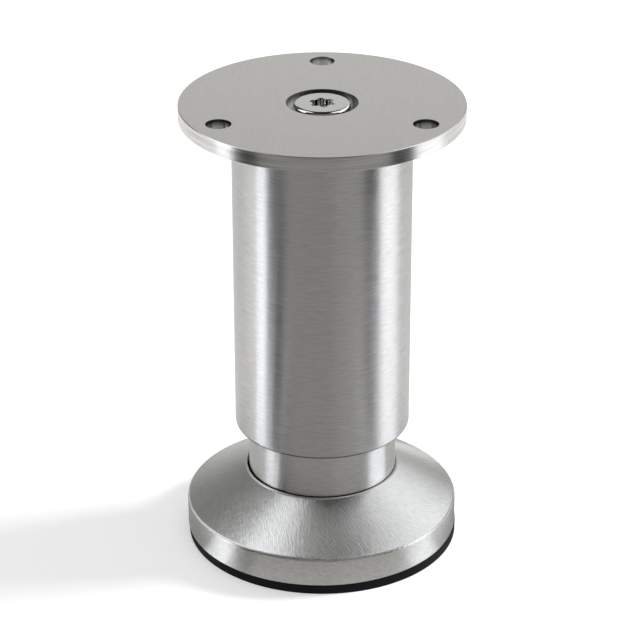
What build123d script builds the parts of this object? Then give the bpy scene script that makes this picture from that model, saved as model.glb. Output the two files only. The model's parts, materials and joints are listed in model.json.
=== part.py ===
import os
from math import sqrt

from build123d import *

# Adjustable furniture leg: a steel tube under a round mounting plate, with a conical foot
# that screws in and out of the tube on a threaded spindle.
# Millimetres, +Z up, the origin on the floor under the middle of the foot.

# Heights of the whole leg
closed_height = 120.0  # floor to plate face with the foot screwed right in
foot_extension = 15.0  # how far the foot is screwed out as modelled
foot_reserve = 5.0  # further travel before the guide ring meets the mouth bush
stop_gap = 0.5  # guide ring to mouth bush at the end of that travel
closed_gap = 0.6  # tube end to foot cover with the foot screwed right in

# Mounting plate
plate_radius = 40.0
plate_thickness = 4.2
plate_edge_break = 0.15
fixing_hole_radius = 3.5
fixing_hole_inset = 7.5  # plate edge to the middle of a hole
fixing_hole_count = 3
fixing_start_angle = 90.0
hole_edge_break = 0.1
head_recess_radius = 10.0
head_recess_depth = 2.7
screw_hole_clearance = 0.3

# Plate screw
screw_radius = 4.0
screw_length = 16.0
screw_tip_chamfer = 1.0
screw_head_radius = 8.0
screw_head_height = 2.6
screw_shoulder_round = 0.9
lobe_count = 6
lobe_core_radius = 2.8
lobe_circle_radius = 2.72
lobe_radius = 0.88
lobe_start_angle = 39.0
drive_depth = 3.0

# Tube and the plugs pressed into it
tube_radius = 25.4
tube_wall = 1.5
tube_end_round = 1.0
thread_clearance = 0.05
top_plug_length = 12.0
top_plug_web = 4.0
top_plug_wall = 2.5
top_plug_boss_radius = 9.0
spindle_plug_web = 6.0
spindle_plug_wall = 2.5
spindle_plug_wall_height = 12.0
spindle_plug_boss_radius = 10.0
spindle_plug_boss_height = 16.0
spindle_plug_headroom = 3.0  # neck end to spindle plug with the foot screwed right in
plug_rib_count = 6
plug_rib_thickness = 2.0
plug_rib_height = 5.0
bush_recess = 1.5
bush_length = 9.0
bush_wall = 2.32
bush_lead = 0.6

# Neck and the split ring that guides it
neck_wall = 1.5
neck_running_clearance = 0.08
neck_socket_depth = 9.0
neck_socket_clearance = 0.05
neck_end_land = 1.2
groove_depth = 0.5
ring_height = 5.0
ring_side_clearance = 0.1
ring_running_clearance = 0.06
ring_slit = 2.0
ring_slit_angle = 45.0

# Foot cover, pressed from sheet
cover_radius = 39.65
cover_height = 18.6
cover_rim_height = 8.3
cover_sheet = 1.0
cover_shoulder_round = 1.2
lip_width = 0.65
lip_height = 0.4
lip_edge_break = 0.12
cover_play = 0.32  # radial room round the neck and the base
cover_touch = 0.08  # what is left of it on the side that the cover has slipped to

# Foot base, a ribbed moulding under the cover
base_floor = 3.0
base_rim_wall = 2.0
base_headroom = 0.7
base_hub_wall = 2.5
base_spigot_wall = 2.5
base_spigot_rise = 4.0
base_boss_radius = 11.5
base_boss_height = 19.0
base_rib_count = 12
base_rib_thickness = 2.0

# Spindle, washer and lock nut
spindle_radius = 5.0
spindle_overrun = 3.0
spindle_tip_chamfer = 1.0
spindle_bore_clearance = 0.1
hex_across_flats = 17.0
hex_head_height = 6.4
hex_pocket_clearance = 0.15
hex_pocket_sink = 0.3
washer_radius = 10.5
washer_thickness = 2.0
washer_bore_clearance = 0.25
nut_height = 8.0
hex_chamfer_rise = 0.9

# Foot pad
pad_inset = 0.05  # from the cover's rim
pad_thickness = 3.0
pad_edge_break = 0.15

# Places worked out from the sizes above
tube_bore = tube_radius - tube_wall
neck_radius = tube_bore - bush_wall - neck_running_clearance
neck_bore = neck_radius - neck_wall
fixing_circle_radius = plate_radius - fixing_hole_inset
pad_radius = cover_radius - pad_inset
cover_opening = neck_radius + cover_play
cover_slip = cover_play - cover_touch
lip_radius = cover_opening + lip_width
cover_shoulder_z = pad_thickness + cover_rim_height
cover_top_z = pad_thickness + cover_height
cone_slope = (cover_top_z - lip_height - cover_shoulder_z) / (cover_radius - lip_radius)
sheet_drop = cover_sheet * sqrt(1 + cone_slope**2)


def cover_top_at(radius):
    return cover_shoulder_z + (cover_radius - radius) * cone_slope


def cover_under_at(radius):
    return cover_top_at(radius) - sheet_drop


plate_face_z = closed_height + foot_extension
tube_top_z = plate_face_z - plate_thickness
tube_mouth_z = cover_top_at(tube_bore) + closed_gap + foot_extension
head_seat_z = plate_face_z - head_recess_depth

bush_low_z = tube_mouth_z + bush_recess
bush_high_z = bush_low_z + bush_length
ring_low_z = bush_high_z + stop_gap + foot_reserve
groove_low_z = ring_low_z - ring_side_clearance
groove_high_z = ring_low_z + ring_height + ring_side_clearance
neck_top_z = groove_high_z + neck_end_land
groove_radius = neck_radius - groove_depth

spindle_plug_low_z = neck_top_z + foot_extension + spindle_plug_headroom
spindle_plug_high_z = spindle_plug_low_z + spindle_plug_boss_height
spindle_end_z = spindle_plug_high_z + spindle_overrun

base_radius = cover_radius - cover_sheet - cover_play
base_floor_z = pad_thickness + base_floor
base_rim_inside = base_radius - base_rim_wall
hub_inside = neck_radius + neck_socket_clearance
hub_radius = hub_inside + base_hub_wall
hub_top_z = cover_under_at(hub_radius) - base_headroom
neck_seat_z = hub_top_z - neck_socket_depth
spigot_radius = neck_bore - neck_socket_clearance
boss_top_z = pad_thickness + base_boss_height
hex_seat_z = pad_thickness + hex_head_height + hex_pocket_sink
washer_top_z = boss_top_z + washer_thickness


def section(*points):
    return make_face(Polyline(*points, close=True))


def rounded(face, radius, corner):
    return fillet(face.vertices().sort_by_distance((*corner, 0))[0], radius)


def turned(face):
    return revolve(Plane.XZ * face, Axis.Z)


def ring(inner, outer, low, high):
    return turned(section((inner, low), (outer, low), (outer, high), (inner, high)))


def rod(radius, low, high):
    return turned(section((0, low), (radius, low), (radius, high), (0, high)))


def ribs(profile, thickness, count):
    rib = extrude(Plane.XZ * profile, amount=thickness / 2, both=True)
    return [Rot(0, 0, 360 * i / count) * rib for i in range(count)]


def hexagon(across_flats, low, high):
    flat_form = RegularPolygon(across_flats / 2, 6, major_radius=False)
    return extrude(Pos(0, 0, low) * flat_form, amount=high - low)


def chamfered_hexagon(across_flats, low, high, low_end, high_end):
    # the corners are turned off at the ends named, down to the circle inside the flats
    inside = across_flats / 2
    corner = inside * 2 / sqrt(3)
    low_radius = inside if low_end else corner
    high_radius = inside if high_end else corner
    envelope = turned(
        section(
            (0, low),
            (low_radius, low),
            (corner, low + hex_chamfer_rise),
            (corner, high - hex_chamfer_rise),
            (high_radius, high),
            (0, high),
        )
    )
    return hexagon(across_flats, low, high) & envelope


def mounting_plate():
    shrunk = plate_radius - plate_edge_break
    edge = (
        (shrunk, tube_top_z),
        (plate_radius, tube_top_z + plate_edge_break),
        (plate_radius, plate_face_z - plate_edge_break),
        (shrunk, plate_face_z),
    )
    plate = turned(section((0, tube_top_z), *edge, (0, plate_face_z)))
    fixing_hole = edge_broken_hole(fixing_hole_radius, tube_top_z)
    plate -= PolarLocations(fixing_circle_radius, fixing_hole_count, fixing_start_angle) * fixing_hole
    plate -= edge_broken_hole(head_recess_radius, head_seat_z)
    return plate - rod(screw_radius + screw_hole_clearance, tube_top_z, plate_face_z)


def edge_broken_hole(radius, low):
    wide = radius + hole_edge_break
    straight_top = plate_face_z - hole_edge_break
    wall = ((radius, low), (radius, straight_top), (wide, plate_face_z))
    return turned(section((0, low), *wall, (0, plate_face_z)))


def plate_screw():
    tip_z = head_seat_z - screw_length
    tip_radius = screw_radius - screw_tip_chamfer
    head_top_z = head_seat_z + screw_head_height
    shoulder = (screw_head_radius, head_top_z)
    profile = section(
        (0, tip_z),
        (tip_radius, tip_z),
        (screw_radius, tip_z + screw_tip_chamfer),
        (screw_radius, head_seat_z),
        (screw_head_radius, head_seat_z),
        shoulder,
        (0, head_top_z),
    )
    lobe_places = PolarLocations(lobe_circle_radius, lobe_count, lobe_start_angle)
    lobes = Circle(lobe_core_radius) + lobe_places * Circle(lobe_radius)
    drive = extrude(Pos(0, 0, head_top_z) * lobes, amount=-drive_depth)
    return turned(rounded(profile, screw_shoulder_round, shoulder)) - drive


def leg_tube():
    mouth_corner = (tube_radius, tube_mouth_z)
    profile = section(
        (tube_bore, tube_mouth_z),
        mouth_corner,
        (tube_radius, tube_top_z),
        (tube_bore, tube_top_z),
    )
    return turned(rounded(profile, tube_end_round, mouth_corner))


def top_plug():
    low = tube_top_z - top_plug_length
    web_low = tube_top_z - top_plug_web
    wall_inside = tube_bore - top_plug_wall
    rib_low = web_low - plug_rib_height
    body = rod(tube_bore, low, tube_top_z) - ring(top_plug_boss_radius, wall_inside, low, web_low)
    rib_form = section(
        (screw_radius + thread_clearance, rib_low),
        (tube_bore - top_plug_wall / 2, rib_low),
        (tube_bore - top_plug_wall / 2, web_low),
        (screw_radius + thread_clearance, web_low),
    )
    body += ribs(rib_form, plug_rib_thickness, plug_rib_count)
    return body - rod(screw_radius + thread_clearance, low, tube_top_z)


def spindle_plug():
    low = spindle_plug_low_z
    web_high = low + spindle_plug_web
    wall_inside = tube_bore - spindle_plug_wall
    rib_high = web_high + plug_rib_height
    bore = spindle_radius + thread_clearance
    body = ring(bore, tube_bore, low, web_high)
    body += ring(wall_inside, tube_bore, low, low + spindle_plug_wall_height)
    body += ring(bore, spindle_plug_boss_radius, low, spindle_plug_high_z)
    rib_form = section(
        (bore, web_high),
        (tube_bore - spindle_plug_wall / 2, web_high),
        (tube_bore - spindle_plug_wall / 2, rib_high),
        (bore, rib_high),
    )
    body += ribs(rib_form, plug_rib_thickness, plug_rib_count)
    return body - rod(bore, low, spindle_plug_high_z)


def mouth_bush():
    bore = neck_radius + neck_running_clearance
    return turned(
        section(
            (bore + bush_lead, bush_low_z),
            (tube_bore, bush_low_z),
            (tube_bore, bush_high_z),
            (bore, bush_high_z),
            (bore, bush_low_z + bush_lead),
        )
    )


def guide_ring():
    inner = groove_radius + ring_running_clearance
    outer = tube_bore - neck_running_clearance
    high = ring_low_z + ring_height
    slit_form = section(
        (inner - groove_depth, ring_low_z),
        (tube_bore, ring_low_z),
        (tube_bore, high),
        (inner - groove_depth, high),
    )
    slit = extrude(Plane.XZ * slit_form, amount=ring_slit / 2, both=True)
    return ring(inner, outer, ring_low_z, high) - Rot(0, 0, ring_slit_angle) * slit


def neck_sleeve():
    return turned(
        section(
            (neck_bore, neck_seat_z),
            (neck_radius, neck_seat_z),
            (neck_radius, groove_low_z),
            (groove_radius, groove_low_z),
            (groove_radius, groove_high_z),
            (neck_radius, groove_high_z),
            (neck_radius, neck_top_z),
            (neck_bore, neck_top_z),
        )
    )


def foot_cover():
    inside = cover_radius - cover_sheet
    shoulder = (cover_radius, cover_shoulder_z)
    lip_side_z = cover_top_z - lip_edge_break
    profile = section(
        (inside, pad_thickness),
        (cover_radius, pad_thickness),
        shoulder,
        (lip_radius, cover_top_at(lip_radius)),
        (lip_radius, lip_side_z),
        (lip_radius - lip_edge_break, cover_top_z),
        (cover_opening + lip_edge_break, cover_top_z),
        (cover_opening, lip_side_z),
        (cover_opening, cover_under_at(cover_opening)),
        (inside, cover_under_at(inside)),
    )
    return Pos(-cover_slip, 0, 0) * turned(rounded(profile, cover_shoulder_round, shoulder))


def foot_base():
    rim_top_z = cover_under_at(cover_radius - cover_sheet) - base_headroom
    spigot_top_z = hub_top_z + base_spigot_rise
    spigot_inside = spigot_radius - base_spigot_wall
    body = turned(
        section(
            (0, pad_thickness),
            (base_radius, pad_thickness),
            (base_radius, rim_top_z),
            (base_rim_inside, rim_top_z),
            (base_rim_inside, base_floor_z),
            (hub_radius, base_floor_z),
            (hub_radius, hub_top_z),
            (hub_inside, hub_top_z),
            (hub_inside, neck_seat_z),
            (spigot_radius, neck_seat_z),
            (spigot_radius, spigot_top_z),
            (spigot_inside, spigot_top_z),
            (spigot_inside, base_floor_z),
            (base_boss_radius, base_floor_z),
            (base_boss_radius, boss_top_z),
            (0, boss_top_z),
        )
    )
    rib_root = hub_radius - base_hub_wall / 2
    rib_tip = base_radius - base_rim_wall / 2
    gusset_form = section(
        (rib_root, base_floor_z),
        (rib_tip, base_floor_z),
        (rib_tip, rim_top_z),
        (base_rim_inside, cover_under_at(base_rim_inside) - base_headroom),
        (hub_radius, hub_top_z),
        (rib_root, hub_top_z),
    )
    body += ribs(gusset_form, base_rib_thickness, base_rib_count)
    pocket_flats = hex_across_flats + 2 * hex_pocket_clearance
    body -= hexagon(pocket_flats, pad_thickness, hex_seat_z)
    return body - rod(spindle_radius + spindle_bore_clearance, pad_thickness, boss_top_z)


def spindle():
    head_low_z = hex_seat_z - hex_head_height
    tip_radius = spindle_radius - spindle_tip_chamfer
    shank = turned(
        section(
            (0, hex_seat_z),
            (spindle_radius, hex_seat_z),
            (spindle_radius, spindle_end_z - spindle_tip_chamfer),
            (tip_radius, spindle_end_z),
            (0, spindle_end_z),
        )
    )
    return chamfered_hexagon(hex_across_flats, head_low_z, hex_seat_z, True, False) + shank


def lock_washer():
    return ring(spindle_radius + washer_bore_clearance, washer_radius, boss_top_z, washer_top_z)


def lock_nut():
    high = washer_top_z + nut_height
    nut = chamfered_hexagon(hex_across_flats, washer_top_z, high, True, True)
    return nut - rod(spindle_radius + thread_clearance, washer_top_z, high)


def foot_pad():
    shrunk = pad_radius - pad_edge_break
    edge = ((shrunk, 0), (pad_radius, pad_edge_break), (pad_radius, pad_thickness))
    return turned(section((0, 0), *edge, (0, pad_thickness)))


pieces = [
    mounting_plate,
    plate_screw,
    leg_tube,
    top_plug,
    spindle_plug,
    mouth_bush,
    guide_ring,
    neck_sleeve,
    foot_cover,
    foot_base,
    spindle,
    lock_washer,
    lock_nut,
    foot_pad,
]

os.makedirs("parts", exist_ok=True)
for piece in pieces:
    export_step(piece(), f"parts/{piece.__name__}.step")
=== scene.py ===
import json
import math

import bpy
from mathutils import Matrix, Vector


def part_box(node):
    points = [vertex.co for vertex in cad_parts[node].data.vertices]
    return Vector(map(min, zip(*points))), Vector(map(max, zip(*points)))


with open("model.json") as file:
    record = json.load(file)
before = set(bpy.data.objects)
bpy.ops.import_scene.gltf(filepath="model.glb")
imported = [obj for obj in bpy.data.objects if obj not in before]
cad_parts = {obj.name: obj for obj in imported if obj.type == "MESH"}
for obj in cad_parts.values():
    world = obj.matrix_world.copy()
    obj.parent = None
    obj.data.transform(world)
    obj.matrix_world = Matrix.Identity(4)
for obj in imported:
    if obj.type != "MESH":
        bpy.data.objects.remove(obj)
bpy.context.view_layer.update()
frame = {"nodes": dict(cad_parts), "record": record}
nodes = frame["nodes"]
mm = 0.001  # the frame is in metres, the settings below are in millimetres
upright, sideways = (0, 0, 1), (1, 0, 0)
quarterTurn = 0.25  # of a smear's direction, as a share of a full turn


def linear(hexText):
    channels = [int(hexText[i:i + 2], 16) / 255 for i in (0, 2, 4)]
    return [c / 12.92 if c <= 0.04045 else ((c + 0.055) / 1.055) ** 2.4 for c in channels] + [1.0]


def addNode(tree, kind, links, **settings):
    node = tree.nodes.new(kind)
    for name, value in settings.items():
        setattr(node, name, value)
    for socket, value in links.items():
        if isinstance(value, bpy.types.NodeSocket):
            tree.links.new(value, node.inputs[socket])
        else:
            node.inputs[socket].default_value = value
    return node


def newMaterial(name):
    material = bpy.data.materials.new(name)
    material.use_nodes = True
    material.node_tree.nodes.clear()
    return material, material.node_tree


def finishMaterial(material, tree, shader):
    addNode(tree, "ShaderNodeOutputMaterial", {"Surface": shader})
    return material


def perMm(size):
    return 1 / (size * mm)  # noise scale that gives features of this many millimetres


def roughnessRange(look):
    return {"To Min": look["roughness"] - look["roughnessSpread"],
            "To Max": look["roughness"] + look["roughnessSpread"]}


# Where a point is, how far it is from the leg's axis, and where it is in plan.
def planOf(tree, place):
    spot = addNode(tree, "ShaderNodeSeparateXYZ", {0: place})
    flat = addNode(tree, "ShaderNodeCombineXYZ", {"X": spot.outputs["X"], "Y": spot.outputs["Y"]})
    radius = addNode(tree, "ShaderNodeVectorMath", {0: flat.outputs[0]}, operation="LENGTH")
    return spot, radius.outputs["Value"], flat.outputs[0]


# noise: its octaves, the strength of the finer ones, and the span of its values that is drawn
brushNoise = {"detail": 3.0, "roughness": 0.6, "low": 0.3, "high": 0.7}
speckNoise = {"detail": 4.0, "roughness": 0.6, "low": 0.3, "high": 0.7}


# The lines that a grit belt leaves: drawn in tone, and cut in as relief that breaks reflections up.
def brushLines(tree, grain, look, strength=1.0):
    noise = addNode(tree, "ShaderNodeTexNoise", {
        "Vector": grain, "Scale": 1.0,
        "Detail": brushNoise["detail"], "Roughness": brushNoise["roughness"]})
    lines = addNode(tree, "ShaderNodeMapRange", {
        "Value": noise.outputs["Fac"], "From Min": brushNoise["low"], "From Max": brushNoise["high"]})
    tone = addNode(tree, "ShaderNodeMix", {
        "Factor": lines.outputs[0], "A": linear(look["darkLine"]), "B": linear(look["lightLine"])},
        data_type="RGBA")
    relief = addNode(tree, "ShaderNodeBump", {
        "Height": lines.outputs[0], "Strength": strength, "Distance": look["lineDepth"] * mm})
    return lines.outputs[0], tone.outputs["Result"], relief.outputs[0]


# Stainless steel, brushed round its axis: fine level lines that smear reflections up and down,
# so what stands round the leg shows as upright light and dark bars.
def roundBrushedSteel(name, look):
    material, tree = newMaterial(name)
    place = addNode(tree, "ShaderNodeTexCoord", {})
    along = perMm(look["lineLength"])
    grain = addNode(tree, "ShaderNodeVectorMath", {
        0: place.outputs["Object"], 1: (along, along, perMm(look["lineWidth"]))}, operation="MULTIPLY")
    lines, tone, relief = brushLines(tree, grain.outputs[0], look)
    satin = addNode(tree, "ShaderNodeMapRange", {"Value": lines, **roughnessRange(look)})
    shape = addNode(tree, "ShaderNodeNewGeometry", {})
    facing = addNode(tree, "ShaderNodeSeparateXYZ", {0: shape.outputs["Normal"]})
    tilt = addNode(tree, "ShaderNodeMath", {0: facing.outputs["Z"]}, operation="ABSOLUTE")
    onEdge = addNode(tree, "ShaderNodeMapRange", {
        "Value": tilt.outputs[0], "From Min": look["edgeTilt"][0], "From Max": look["edgeTilt"][1]})
    polish = addNode(tree, "ShaderNodeMix", {
        "Factor": onEdge.outputs[0], "A": satin.outputs[0], "B": look["edgeRoughness"]},
        data_type="FLOAT")
    # painted shade: the rounded ends turn to the darker edge tone
    colour = addNode(tree, "ShaderNodeMix", {
        "Factor": onEdge.outputs[0], "A": tone, "B": linear(look["edgeShadeTone"])}, data_type="RGBA")
    spot = addNode(tree, "ShaderNodeSeparateXYZ", {0: place.outputs["Object"]})
    # painted shade: a thin band at the seam is darkened towards the seam tone, for the shadow line
    # between parts
    seam = addNode(tree, "ShaderNodeMapRange", {
        "Value": spot.outputs["Z"], "From Min": look["seamHeight"],
        "From Max": look["seamHeight"] + look["seamReach"] * mm, "To Min": 1.0, "To Max": 0.0})
    seamShaded = addNode(tree, "ShaderNodeMix", {
        "Factor": seam.outputs[0], "A": colour.outputs["Result"], "B": linear(look["seamShadeTone"])},
        data_type="RGBA")
    tangent = addNode(tree, "ShaderNodeTangent", {}, direction_type="RADIAL", axis="Z")
    steel = addNode(tree, "ShaderNodeBsdfPrincipled", {
        "Base Color": seamShaded.outputs["Result"], "Metallic": 1.0, "Roughness": polish.outputs["Result"],
        "Anisotropic": look["anisotropy"], "Anisotropic Rotation": quarterTurn,
        "Normal": relief, "Tangent": tangent.outputs[0]})
    return finishMaterial(material, tree, steel.outputs[0])


tubeLook = {
    "darkLine": "c8c7c6", "lightLine": "e2e1e0",
    "lineLength": 4.0, "lineWidth": 0.4,  # grit lines are near 0.05 mm wide, drawn coarser to show
    "lineDepth": 0.03, "roughness": 0.38, "roughnessSpread": 0.03, "anisotropy": 1.0,
    "edgeTilt": (0.1, 0.4),  # the lean at which an edge starts, and at which it is all edge
    "edgeRoughness": 0.3, "edgeShadeTone": "6e6e6d",  # the rounded ends: a little smoother, and darkened as painted shade
    "seamHeight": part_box("leg_tube")[0][2], "seamReach": 0.1, "seamShadeTone": "2a2a2a",  # painted shade: a dark line at the seam, for the shadow where one part meets the next
}
neckLook = dict(tubeLook, lineLength=3.0, lineDepth=0.015, roughness=0.32,
                seamHeight=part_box("foot_cover")[1][2], seamReach=0.25)


# Stainless steel sheet, brushed straight: lines along Y that give the faces an even silky grey,
# and turned lines round the rim that draw its reflections as short bars. The holes are painted with
# shade, darkest at their mouths.
def straightBrushedSteel(name, look):
    material, tree = newMaterial(name)
    place = addNode(tree, "ShaderNodeTexCoord", {})
    shape = addNode(tree, "ShaderNodeNewGeometry", {})
    facing = addNode(tree, "ShaderNodeSeparateXYZ", {0: shape.outputs["True Normal"]})
    level = addNode(tree, "ShaderNodeMath", {0: facing.outputs["Z"]}, operation="ABSOLUTE")
    onFace = addNode(tree, "ShaderNodeMath", {
        0: level.outputs[0], 1: look["faceTilt"]}, operation="GREATER_THAN")
    across, along = perMm(look["lineWidth"]), perMm(look["lineLength"])
    faceGrain = addNode(tree, "ShaderNodeVectorMath", {
        0: place.outputs["Object"], 1: (across, along, along)}, operation="MULTIPLY")
    turn, step = perMm(look["rimLineLength"]), perMm(look["rimLineWidth"])
    rimGrain = addNode(tree, "ShaderNodeVectorMath", {
        0: place.outputs["Object"], 1: (turn, turn, step)}, operation="MULTIPLY")
    grain = addNode(tree, "ShaderNodeMix", {
        "Factor": onFace.outputs[0], "A": rimGrain.outputs[0], "B": faceGrain.outputs[0]},
        data_type="VECTOR")
    lines, tone, relief = brushLines(tree, grain.outputs["Result"], look)
    # the walls of the holes: painted shade, darkest near the mouth, lighter in the recess and in the back
    # hole
    spot, radius = planOf(tree, place.outputs["Object"])[:2]
    inside = addNode(tree, "ShaderNodeMath", {0: radius, 1: look["rimStart"] * mm}, operation="LESS_THAN")
    mouth = addNode(tree, "ShaderNodeMapRange", {
        "Value": spot.outputs["Z"], "From Min": look["faceHeight"] - look["boreReach"] * mm,
        "From Max": look["faceHeight"] - look["mouthReach"] * mm})
    mouthShade = addNode(tree, "ShaderNodeMath", {
        0: lines, 1: look["boreStreaks"], 2: mouth.outputs[0]}, operation="MULTIPLY_ADD", use_clamp=True)
    turned = addNode(tree, "ShaderNodeMath", {
        0: radius, 1: look["recessReach"] * mm}, operation="LESS_THAN")
    behind = addNode(tree, "ShaderNodeMath", {
        0: spot.outputs["Y"], 1: look["backStart"] * mm}, operation="GREATER_THAN")
    lessShaded = addNode(tree, "ShaderNodeMath", {
        0: turned.outputs[0], 1: behind.outputs[0]}, operation="MAXIMUM")
    shadeShare = addNode(tree, "ShaderNodeMapRange", {
        "Value": lessShaded.outputs[0], "To Min": 1.0, "To Max": look["recessShadeShare"]})
    narrow = addNode(tree, "ShaderNodeMapRange", {
        "Value": behind.outputs[0], "To Min": 1.0, "To Max": look["backNarrowing"]})
    band = addNode(tree, "ShaderNodeMath", {
        0: mouthShade.outputs[0], 1: narrow.outputs[0]}, operation="POWER")
    boreShade = addNode(tree, "ShaderNodeMath", {
        0: band.outputs[0], 1: shadeShare.outputs[0]}, operation="MULTIPLY")
    boreTone = addNode(tree, "ShaderNodeMix", {
        "Factor": boreShade.outputs[0], "A": linear(look["boreLight"]), "B": linear(look["boreShadeTone"])},
        data_type="RGBA")
    rimTone = addNode(tree, "ShaderNodeMix", {
        "Factor": lines, "A": linear(look["rimDark"]), "B": linear(look["rimLight"])}, data_type="RGBA")
    sideTone = addNode(tree, "ShaderNodeMix", {
        "Factor": inside.outputs[0], "A": rimTone.outputs["Result"], "B": boreTone.outputs["Result"]},
        data_type="RGBA")
    colour = addNode(tree, "ShaderNodeMix", {
        "Factor": onFace.outputs[0], "A": sideTone.outputs["Result"], "B": tone}, data_type="RGBA")
    sidePolish = addNode(tree, "ShaderNodeMapRange", {
        "Value": inside.outputs[0], "To Min": look["rimRoughness"], "To Max": look["boreRoughness"]})
    polish = addNode(tree, "ShaderNodeMix", {
        "Factor": onFace.outputs[0], "A": sidePolish.outputs[0], "B": look["roughness"]},
        data_type="FLOAT")
    smear = addNode(tree, "ShaderNodeMix", {
        "Factor": onFace.outputs[0], "A": upright, "B": sideways}, data_type="VECTOR")
    steel = addNode(tree, "ShaderNodeBsdfPrincipled", {
        "Base Color": colour.outputs["Result"], "Metallic": 1.0, "Roughness": polish.outputs["Result"],
        "Anisotropic": look["anisotropy"], "Normal": relief, "Tangent": smear.outputs["Result"]})
    return finishMaterial(material, tree, steel.outputs[0])


plateLook = {
    "darkLine": "d2d1cf", "lightLine": "d7d6d4",
    "lineLength": 6.0, "lineWidth": 0.9,  # grit lines are near 0.05 mm wide, drawn coarser to show
    "lineDepth": 0.001, "roughness": 0.36, "anisotropy": 0.8,
    "faceTilt": 0.8,  # a surface that is at least this level is a face
    "faceHeight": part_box("mounting_plate")[1][2],
    "rimDark": "bdbcba", "rimLight": "e4e3e1", "rimLineLength": 16.0, "rimLineWidth": 0.5,
    "rimRoughness": 0.3, "rimStart": 38.5,
    # painted shade in the holes: the bore's own grey, and the dark grey it is shaded to
    "boreShadeTone": "3a3a39", "boreLight": "c9c9c7", "boreRoughness": 0.3,
    "mouthReach": 0.4, "boreReach": 2.1, "boreStreaks": 0.25,
    "recessReach": 12.0, "recessShadeShare": 0.75,  # the screw's recess gets less painted shade
    "backStart": 20.0, "backNarrowing": 4.0,  # the back hole gets painted shade only in a thin band at its edge
}


# Stainless steel sheet, pressed to a cone and brushed while it turned: spiral lines on the cone,
# which fan the light out unevenly, and level lines round the rim.
def spiralBrushedSteel(name, look):
    material, tree = newMaterial(name)
    place = addNode(tree, "ShaderNodeTexCoord", {})
    shape = addNode(tree, "ShaderNodeNewGeometry", {})
    facing = addNode(tree, "ShaderNodeSeparateXYZ", {0: shape.outputs["Normal"]})
    onCone = addNode(tree, "ShaderNodeMapRange", {
        "Value": facing.outputs["Z"], "From Min": look["coneTilt"][0], "From Max": look["coneTilt"][1]},
        interpolation_type="SMOOTHSTEP")
    lean = math.radians(look["spiralLean"])
    radius, flat = planOf(tree, place.outputs["Object"])[1:]
    outward = addNode(tree, "ShaderNodeVectorMath", {0: flat}, operation="NORMALIZE")
    # turning each point back by its share of the spiral makes the spiral lines straight spokes
    stretch = addNode(tree, "ShaderNodeMath", {0: radius, 1: look["midRadius"] * mm}, operation="DIVIDE")
    growth = addNode(tree, "ShaderNodeMath", {0: stretch.outputs[0], 1: math.e}, operation="LOGARITHM")
    turnBack = addNode(tree, "ShaderNodeMath", {
        0: growth.outputs[0], 1: -math.tan(lean)}, operation="MULTIPLY")
    spoke = addNode(tree, "ShaderNodeVectorRotate", {
        "Vector": outward.outputs[0], "Axis": upright, "Angle": turnBack.outputs[0]},
        rotation_type="AXIS_ANGLE")
    spread = addNode(tree, "ShaderNodeVectorMath", {
        0: spoke.outputs[0], "Scale": look["midRadius"] / look["lineWidth"]}, operation="SCALE")
    along = perMm(look["lineLength"])
    reach = addNode(tree, "ShaderNodeMath", {0: radius, 1: along}, operation="MULTIPLY")
    lift = addNode(tree, "ShaderNodeCombineXYZ", {"Z": reach.outputs[0]})
    coneGrain = addNode(tree, "ShaderNodeVectorMath", {
        0: spread.outputs[0], 1: lift.outputs[0]}, operation="ADD")
    rimGrain = addNode(tree, "ShaderNodeVectorMath", {
        0: place.outputs["Object"], 1: (along, along, perMm(look["lineWidth"]))}, operation="MULTIPLY")
    grain = addNode(tree, "ShaderNodeMix", {
        "Factor": onCone.outputs[0], "A": rimGrain.outputs[0], "B": coneGrain.outputs[0]},
        data_type="VECTOR")
    satin = addNode(tree, "ShaderNodeMapRange", {
        "Value": onCone.outputs[0], "To Min": look["rimRoughness"], "To Max": look["roughness"]})
    # the shoulder is worn smooth: 1 within the reach of half way between rim and cone, 0 elsewhere
    bend = addNode(tree, "ShaderNodeMath", {
        0: onCone.outputs[0], 1: look["bendMiddle"], 2: look["bendReach"]}, operation="COMPARE")
    depth = addNode(tree, "ShaderNodeMapRange", {
        "Value": bend.outputs[0], "To Min": 1.0, "To Max": look["bendRelief"]})
    tone, relief = brushLines(tree, grain.outputs["Result"], look, depth.outputs[0])[1:]
    polish = addNode(tree, "ShaderNodeMix", {
        "Factor": bend.outputs[0], "A": satin.outputs[0], "B": look["bendRoughness"]}, data_type="FLOAT")
    acrossLines = addNode(tree, "ShaderNodeVectorRotate", {
        "Vector": outward.outputs[0], "Axis": upright, "Angle": math.pi / 2 + lean},
        rotation_type="AXIS_ANGLE")
    smear = addNode(tree, "ShaderNodeMix", {
        "Factor": onCone.outputs[0], "A": upright, "B": acrossLines.outputs[0]}, data_type="VECTOR")
    worldSmear = addNode(tree, "ShaderNodeVectorTransform", {0: smear.outputs["Result"]},
        vector_type="VECTOR", convert_from="OBJECT", convert_to="WORLD")
    steel = addNode(tree, "ShaderNodeBsdfPrincipled", {
        "Base Color": tone, "Metallic": 1.0, "Roughness": polish.outputs["Result"],
        "Anisotropic": look["anisotropy"], "Normal": relief, "Tangent": worldSmear.outputs[0]})
    return finishMaterial(material, tree, steel.outputs[0])


coverLook = {
    "darkLine": "c8c7c5", "lightLine": "e2e1de",
    "spiralLean": 28.0, "midRadius": 31.0,
    "lineLength": 1.6, "lineWidth": 0.32,  # grit lines are near 0.05 mm wide, drawn coarser to show
    "lineDepth": 0.042, "roughness": 0.29, "rimRoughness": 0.4, "anisotropy": 0.95,
    "coneTilt": (0.25, 0.7),  # the lean at which the rim ends, and at which the cone starts
    "bendMiddle": 0.5, "bendReach": 0.49, "bendRelief": 0.3, "bendRoughness": 0.26,
}
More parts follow.
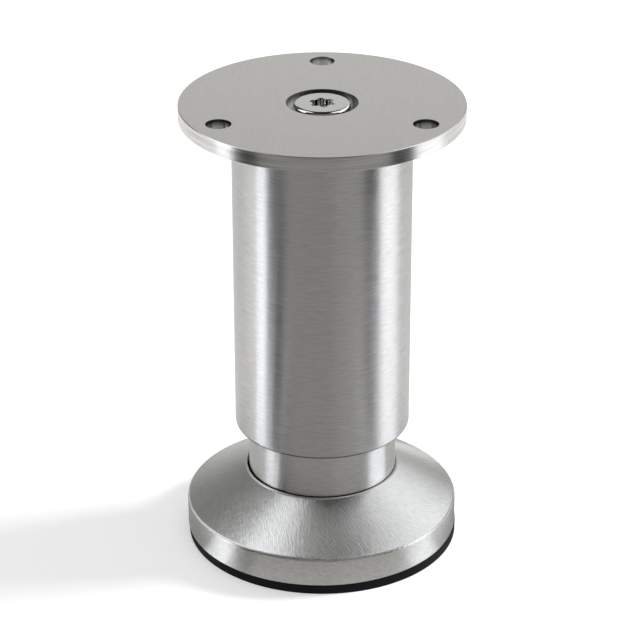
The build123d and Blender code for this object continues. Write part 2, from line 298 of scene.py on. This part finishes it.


# Machine-polished steel: a bright mirror with a trace of haze. The punched drive is painted in dark
# and bright streaks, as painted shade and painted highlights, so its lobes stand out.
def punchedSteel(name, look):
    material, tree = newMaterial(name)
    place = addNode(tree, "ShaderNodeTexCoord", {})
    haze = addNode(tree, "ShaderNodeTexNoise", {
        "Vector": place.outputs["Object"], "Scale": perMm(look["grain"]),
        "Detail": speckNoise["detail"], "Roughness": speckNoise["roughness"]})
    tone = addNode(tree, "ShaderNodeMix", {
        "Factor": haze.outputs["Fac"], "A": linear(look["dark"]), "B": linear(look["light"])},
        data_type="RGBA")
    across, down = perMm(look["streakWidth"]), perMm(look["streakLength"])
    fall = addNode(tree, "ShaderNodeVectorMath", {
        0: place.outputs["Object"], 1: (across, across, down)}, operation="MULTIPLY")
    streaks = addNode(tree, "ShaderNodeTexNoise", {
        "Vector": fall.outputs[0], "Scale": 1.0, "Detail": look["streakDetail"]})
    contrast = addNode(tree, "ShaderNodeMapRange", {
        "Value": streaks.outputs["Fac"], "From Min": look["streakLow"], "From Max": look["streakHigh"]})
    # painted shade and painted highlights in the drive, streaked up and down its walls
    driveShadeAndHighlight = addNode(tree, "ShaderNodeMix", {
        "Factor": contrast.outputs[0], "A": linear(look["driveShade"]), "B": linear(look["driveHighlight"])},
        data_type="RGBA")
    spot, radius = planOf(tree, place.outputs["Object"])[:2]
    within = addNode(tree, "ShaderNodeMath", {
        0: radius, 1: look["driveReach"] * mm}, operation="LESS_THAN")
    sunk = addNode(tree, "ShaderNodeMath", {
        0: spot.outputs["Z"], 1: look["headHeight"] - look["driveSink"] * mm}, operation="LESS_THAN")
    inDrive = addNode(tree, "ShaderNodeMath", {
        0: within.outputs[0], 1: sunk.outputs[0]}, operation="MULTIPLY")
    colour = addNode(tree, "ShaderNodeMix", {
        "Factor": inDrive.outputs[0], "A": tone.outputs["Result"], "B": driveShadeAndHighlight.outputs["Result"]},
        data_type="RGBA")
    gloss = addNode(tree, "ShaderNodeMapRange", {"Value": haze.outputs["Fac"], **roughnessRange(look)})
    steel = addNode(tree, "ShaderNodeBsdfPrincipled", {
        "Base Color": colour.outputs["Result"], "Metallic": 1.0, "Roughness": gloss.outputs[0]})
    return finishMaterial(material, tree, steel.outputs[0])


punchedLook = {
    "dark": "cfcfce", "light": "d8d8d7", "grain": 0.6, "roughness": 0.1, "roughnessSpread": 0.02,
    "driveReach": 3.8, "headHeight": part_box("plate_screw")[1][2], "driveSink": 0.05,
    # the drive's painted shade and painted highlight colours
    "driveShade": "1c1c1c", "driveHighlight": "f6f6f4", "streakWidth": 0.9, "streakLength": 8.0,
    "streakDetail": 1.0, "streakLow": 0.36, "streakHigh": 0.5,
}


# Speckled finish for what is moulded, cast or plated: a fine grain in tone, gloss and relief.
def speckled(name, look):
    material, tree = newMaterial(name)
    place = addNode(tree, "ShaderNodeTexCoord", {})
    speckle = addNode(tree, "ShaderNodeTexNoise", {
        "Vector": place.outputs["Object"], "Scale": perMm(look["grain"]),
        "Detail": speckNoise["detail"], "Roughness": speckNoise["roughness"]})
    tone = addNode(tree, "ShaderNodeMix", {
        "Factor": speckle.outputs["Fac"], "A": linear(look["dark"]), "B": linear(look["light"])},
        data_type="RGBA")
    gloss = addNode(tree, "ShaderNodeMapRange", {
        "Value": speckle.outputs["Fac"], "From Min": speckNoise["low"], "From Max": speckNoise["high"],
        **roughnessRange(look)})
    relief = addNode(tree, "ShaderNodeBump", {
        "Height": speckle.outputs["Fac"], "Strength": 1.0, "Distance": look["grainDepth"] * mm})
    surface = addNode(tree, "ShaderNodeBsdfPrincipled", {
        "Base Color": tone.outputs["Result"], "Metallic": look["metallic"],
        "Roughness": gloss.outputs[0], "Normal": relief.outputs[0]})
    if not look["metallic"]:
        surface.inputs["IOR"].default_value = look["ior"]
        surface.inputs["Specular IOR Level"].default_value = look["specular"]
    return finishMaterial(material, tree, surface.outputs[0])


zincPlateLook = {  # bright zinc plate: a cool, slightly hazy grey
    "dark": "a9adb0", "light": "bfc3c6", "grain": 0.8, "grainDepth": 0.002,
    "metallic": 1.0, "roughness": 0.3, "roughnessSpread": 0.06,
}
dieCastLook = {  # as-cast zinc alloy: dull grey with a grainy skin
    "dark": "85878a", "light": "a0a2a5", "grain": 0.9, "grainDepth": 0.02,
    "metallic": 1.0, "roughness": 0.52, "roughnessSpread": 0.08,
}
nylonLook = {  # injection-moulded black nylon: satin with a fine spark texture
    "dark": "141414", "light": "1f1f20", "grain": 0.5, "grainDepth": 0.01,
    "metallic": 0.0, "ior": 1.53, "specular": 0.5, "roughness": 0.5, "roughnessSpread": 0.06,
}
rubberLook = {  # moulded black rubber: matt, with a soft grey bloom
    "dark": "0b0b0c", "light": "141415", "grain": 0.7, "grainDepth": 0.012,
    "metallic": 0.0, "ior": 1.52, "specular": 0.15, "roughness": 0.75, "roughnessSpread": 0.06,
}

finishes = {
    "plate_steel": straightBrushedSteel("stainlessStraightBrushed", plateLook),
    "screw_steel": punchedSteel("steelMachinePolished", punchedLook),
    "tube_steel": roundBrushedSteel("stainlessRoundBrushed", tubeLook),
    "neck_steel": roundBrushedSteel("stainlessRoundBrushedNeck", neckLook),
    "cover_steel": spiralBrushedSteel("stainlessSpiralBrushed", coverLook),
    "fastener_steel": speckled("steelZincPlated", zincPlateLook),
    "die_cast": speckled("zincDieCast", dieCastLook),
    "bush_nylon": speckled("nylonMouldedBush", nylonLook),
    "base_nylon": speckled("nylonMouldedBase", nylonLook),
    "pad_rubber": speckled("rubberMoulded", rubberLook),
}
print("finishes:", len(finishes))

for part in frame["record"]["subparts"]:
    node = nodes[part["node"]]
    node.data.materials.clear()
    node.data.materials.append(finishes[part["material_slot"]])


def addMesh(name, points, faces):
    mesh = bpy.data.meshes.new(name)
    mesh.from_pydata([Vector(p) * mm for p in points], [], faces)
    piece = bpy.data.objects.new(name, mesh)
    bpy.context.scene.collection.objects.link(piece)
    return piece


# 1 for rays that show a thing, 0 for rays that only carry light to another
def seenDirectly(tree):
    ray = addNode(tree, "ShaderNodeLightPath", {})
    seen = addNode(tree, "ShaderNodeMath", {
        0: ray.outputs["Is Camera Ray"], 1: ray.outputs["Is Glossy Ray"]}, operation="ADD")
    seen = addNode(tree, "ShaderNodeMath", {
        0: seen.outputs[0], 1: ray.outputs["Is Transmission Ray"]}, operation="ADD", use_clamp=True)
    return seen.outputs[0]


studio = {
    "floorSize": 6000, "floorColour": "f4f4f4", "floorGlow": 0.38,
    "floorLift": 0.01,  # a hair above the pad's underside, so the two never share a plane
    "fadeStart": 500, "fadeEnd": 1500,  # where the floor turns to white, so no horizon shows
    "keyPlace": (1600, 344, 1148), "keySize": 500, "keyShare": 0.48, "fillShare": 0.52,
    "cardStep": 4,  # degrees from one fold of a card to the next
}
white = linear("ffffff")

# floor: matt white paper that keeps the leg's shadow, clear from below so that the pad can be seen
half, lift = studio["floorSize"] / 2, studio["floorLift"]
corners = [(-half, -half, lift), (half, -half, lift), (half, half, lift), (-half, half, lift)]
floor = addMesh("floor", corners, [(0, 1, 2, 3)])
material, tree = newMaterial("paperMattWhite")
material.cycles.emission_sampling = "NONE"
seen = seenDirectly(tree)
glow = addNode(tree, "ShaderNodeMath", {0: seen, 1: studio["floorGlow"]}, operation="MULTIPLY")
paper = addNode(tree, "ShaderNodeBsdfDiffuse", {"Color": linear(studio["floorColour"])})
shine = addNode(tree, "ShaderNodeEmission", {"Color": white, "Strength": glow.outputs[0]})
both = addNode(tree, "ShaderNodeAddShader", {0: paper.outputs[0], 1: shine.outputs[0]})
place = addNode(tree, "ShaderNodeTexCoord", {})
distance = addNode(tree, "ShaderNodeVectorMath", {0: place.outputs["Object"]}, operation="LENGTH")
fade = addNode(tree, "ShaderNodeMapRange", {
    "Value": distance.outputs["Value"], "From Min": studio["fadeStart"] * mm,
    "From Max": studio["fadeEnd"] * mm, "To Max": seen}, interpolation_type="SMOOTHSTEP")
blank = addNode(tree, "ShaderNodeEmission", {"Color": white, "Strength": 1.0})
faded = addNode(tree, "ShaderNodeMixShader", {
    0: fade.outputs[0], 1: both.outputs[0], 2: blank.outputs[0]})
side = addNode(tree, "ShaderNodeNewGeometry", {})
clear = addNode(tree, "ShaderNodeBsdfTransparent", {})
sheet = addNode(tree, "ShaderNodeMixShader", {
    0: side.outputs["Backfacing"], 1: faded.outputs[0], 2: clear.outputs[0]})
floor.data.materials.append(finishMaterial(material, tree, sheet.outputs[0]))

# where cards start and end, in degrees from the camera's side, with the right side positive
fullTurn = 360
leftGap, leftBox, leftStrip, leftFlag, leftNear, frontLeft = -153, -113, -87, -72, -62.5, -50.4
frontRight, rightFlag, rightNear, rightStrip, rightBox, backRight = 16, 54, 66, 75, 105, 153
footLeft, footFlag, footFlagEnd, footRight, rightNearEnd, plateSide = -65, -49, -36, 46, 100, 52
# how far cards are from the leg's axis
footEdge, nearEdgeRight, nearEdge, neckEdge, shadeEnd, neckEnd = 41, 58, 60, 62, 80, 95
stripStart, tableEnd, plateStart, plateEnd = 130, 260, 340, 450
hangEdge, wall, gapWall, farWall = 380, 900, 905, 1000
# heights: of cards that lie one over another on the floor, then of upright cards
tableLayer, footTableLayer, stripLayer, shadeLayer, footLayer = 0.2, 0.3, 0.4, 0.5, 0.6
fillTop, boxFoot, frontSplit, paperTop, cardTop = 200, 364, 600, 654, 1150
ceilingFoot, ceilingTop = 500, 1160


def lying(start, end, height):
    return [(start, height), (end, height)]


def standing(foot, top, away=wall):
    return [(away, foot), (away, top)]


hanging = lying(wall, hangEdge, cardTop)
frontSheet = lying(tableEnd, wall, tableLayer) + [(wall, frontSplit)]
sideSheet = lying(stripStart, wall, stripLayer)
ceilingSheet = standing(ceilingFoot, ceilingTop, farWall) + [(hangEdge, ceilingTop)]
cool, warm = "f8fbff", "fffefb"
# cards that only reflections see: start, end, outline as distance and height, light level, tint
cards = {
    # in front: a pale table close by and a dark room behind it, for the tube's middle
    "footTable": (frontLeft, rightFlag, lying(footEdge, neckEdge, footTableLayer), 0.73, warm),
    "frontTable": (frontLeft, frontRight, lying(neckEdge, tableEnd, tableLayer), 0.66, warm),
    "frontTableRight": (frontRight, rightFlag, lying(neckEdge, tableEnd, tableLayer), 0.73, warm),
    "frontDark": (frontLeft, frontRight, frontSheet, 0.165, warm),
    "frontGrey": (frontRight, rightFlag, frontSheet, 0.22, warm),
    "frontHigh": (frontLeft, rightFlag, standing(frontSplit, cardTop), 0.22, warm),
    "frontTop": (frontLeft, rightFlag, hanging, 0.02, warm),
    # at the sides: lit strips and boxes next to black flags, for the tube's bright and dark bars
    "leftFlag": (leftFlag, frontLeft, sideSheet + hanging, 0.01, warm),
    "rightFlag": (rightFlag, rightStrip, sideSheet + [(wall, paperTop)], 0.01, warm),
    "leftStrip": (leftStrip, leftFlag, sideSheet + [(wall, paperTop)], 1.9, cool),
    "leftFill": (leftGap, leftStrip, standing(0, fillTop), 0.7, cool),
    "leftBox": (leftBox, leftStrip, [(wall, boxFoot)] + hanging, 2.3, cool),
    "leftGap": (leftGap, leftStrip, standing(0, cardTop, gapWall), 0.1, warm),
    "rightGap": (rightBox, backRight, standing(0, boxFoot), 0.1, warm),
    "rightBox": (rightBox, backRight, standing(boxFoot, cardTop), 1.5, cool),
    "rightStrip": (rightStrip, rightBox, [(wall, 0)] + hanging, 2.1, cool),
    "leftStripNear": (leftStrip, leftNear, lying(nearEdge, stripStart, stripLayer), 2.2, cool),
    "leftFlagNear": (leftNear, frontLeft, lying(nearEdge, stripStart, stripLayer), 0.25, warm),
    "rightFlagNear": (rightFlag, rightNear, lying(nearEdge, stripStart, stripLayer), 0.55, warm),
    "rightStripNear": (rightNear, rightNearEnd, lying(nearEdgeRight, stripStart, stripLayer), 1.5, cool),
    # behind: white paper with a dark room over it, for the plate's top
    "backPaper": (backRight, leftGap + fullTurn, standing(0, paperTop), 0.71, warm),
    "backDark": (backRight, leftGap + fullTurn, [(wall, paperTop)] + hanging, 0.02, warm),
    "backTable": (rightBox, leftStrip + fullTurn, lying(shadeEnd, wall, tableLayer), 1.05, warm),
    # on the table: what the neck, the plate's rim and the foot's rim mirror
    "neckShade": (frontLeft, frontRight, lying(neckEdge, neckEnd, shadeLayer), 0.2, warm),
    "neckShadeRight": (frontRight, rightFlag, lying(neckEdge, neckEnd, shadeLayer), 0.3, warm),
    "plateBand": (-plateSide, plateSide, lying(plateStart, plateEnd, stripLayer), 0.3, warm),
    "leftFoot": (footLeft, footFlag, lying(footEdge, nearEdge, footLayer), 1.6, cool),
    "leftFootFlag": (footFlag, footFlagEnd, lying(footEdge, nearEdge, footLayer), 0.4, warm),
    "rightFoot": (footRight, rightNear, lying(footEdge, nearEdgeRight, footLayer), 1.4, cool),
    "footShadeRight": (rightNear, rightNearEnd, lying(footEdge, nearEdgeRight, shadeLayer), 0.28, warm),
    "footShade": (rightNearEnd, footLeft + fullTurn, lying(footEdge, shadeEnd, shadeLayer), 0.28, warm),
    # overhead: a grey room with a dark middle, for the front of the foot's cone
    "ceiling": (0, fullTurn, ceilingSheet, 0.48, warm),
    "overhead": (0, fullTurn, lying(hangEdge, 0, ceilingTop), 0.02, warm),
}


def addCard(name, start, end, outline, level, tint):
    steps, count = math.ceil((end - start) / studio["cardStep"]), len(outline)
    points = []
    for i in range(steps + 1):
        turn = math.radians(start + (end - start) * i / steps)
        points += [(r * math.sin(turn), -r * math.cos(turn), z) for r, z in outline]
    faces = [(i * count + k, i * count + k + 1, (i + 1) * count + k + 1, (i + 1) * count + k)
             for i in range(steps) for k in range(count - 1)]
    card = addMesh(name, points, faces)
    material, tree = newMaterial(name + "Card")
    material.cycles.emission_sampling = "NONE"
    glow = addNode(tree, "ShaderNodeEmission", {"Color": linear(tint), "Strength": level})
    card.data.materials.append(finishMaterial(material, tree, glow.outputs[0]))
    card.visible_camera = False
    card.visible_diffuse = False
    card.visible_transmission = False
    card.visible_volume_scatter = False
    card.visible_shadow = False


for name, card in cards.items():
    addCard(name, *card)

key = bpy.data.lights.new("keySoftbox", "AREA")
key.size = studio["keySize"] * mm
keyLamp = bpy.data.objects.new("keySoftbox", key)
keyLamp.location = Vector(studio["keyPlace"]) * mm
keyLamp.rotation_euler = (-keyLamp.location).to_track_quat("-Z", "Y").to_euler()
# the power that gives the floor this share of the light that shows white paper as white
key.energy = studio["keyShare"] * math.pi ** 2 * keyLamp.location.length ** 3 / keyLamp.location.z
keyLamp.visible_camera = False
keyLamp.visible_glossy = False
bpy.context.scene.collection.objects.link(keyLamp)

world = bpy.data.worlds.new("paleRoom")
world.use_nodes = True
tree = world.node_tree
tree.nodes.clear()
level = addNode(tree, "ShaderNodeMapRange", {
    "Value": seenDirectly(tree), "To Min": studio["fillShare"], "To Max": 1.0})
sky = addNode(tree, "ShaderNodeBackground", {"Color": white, "Strength": level.outputs[0]})
addNode(tree, "ShaderNodeOutputWorld", {"Surface": sky.outputs[0]})
bpy.context.scene.world = world
print("studio:", len(cards), "cards, one lamp")

view = {
    "lens": 143.74, "sensor": 36.0, "elevation": 26.19, "place": (0, -660.52, 392.75),
    "shiftPixels": -2.2, "imageWidth": 640,  # the leg stands a little right of the picture's middle
}
camera = bpy.data.cameras.new("photoCamera")
camera.lens = view["lens"]
camera.sensor_width = view["sensor"]
camera.shift_x = view["shiftPixels"] / view["imageWidth"]
cameraObject = bpy.data.objects.new("photoCamera", camera)
cameraObject.location = Vector(view["place"]) * mm
cameraObject.rotation_euler = (math.radians(90 - view["elevation"]), 0, 0)
bpy.context.scene.collection.objects.link(cameraObject)
bpy.context.scene.camera = cameraObject
bpy.context.scene.view_settings.view_transform = "Standard"
print("camera set")
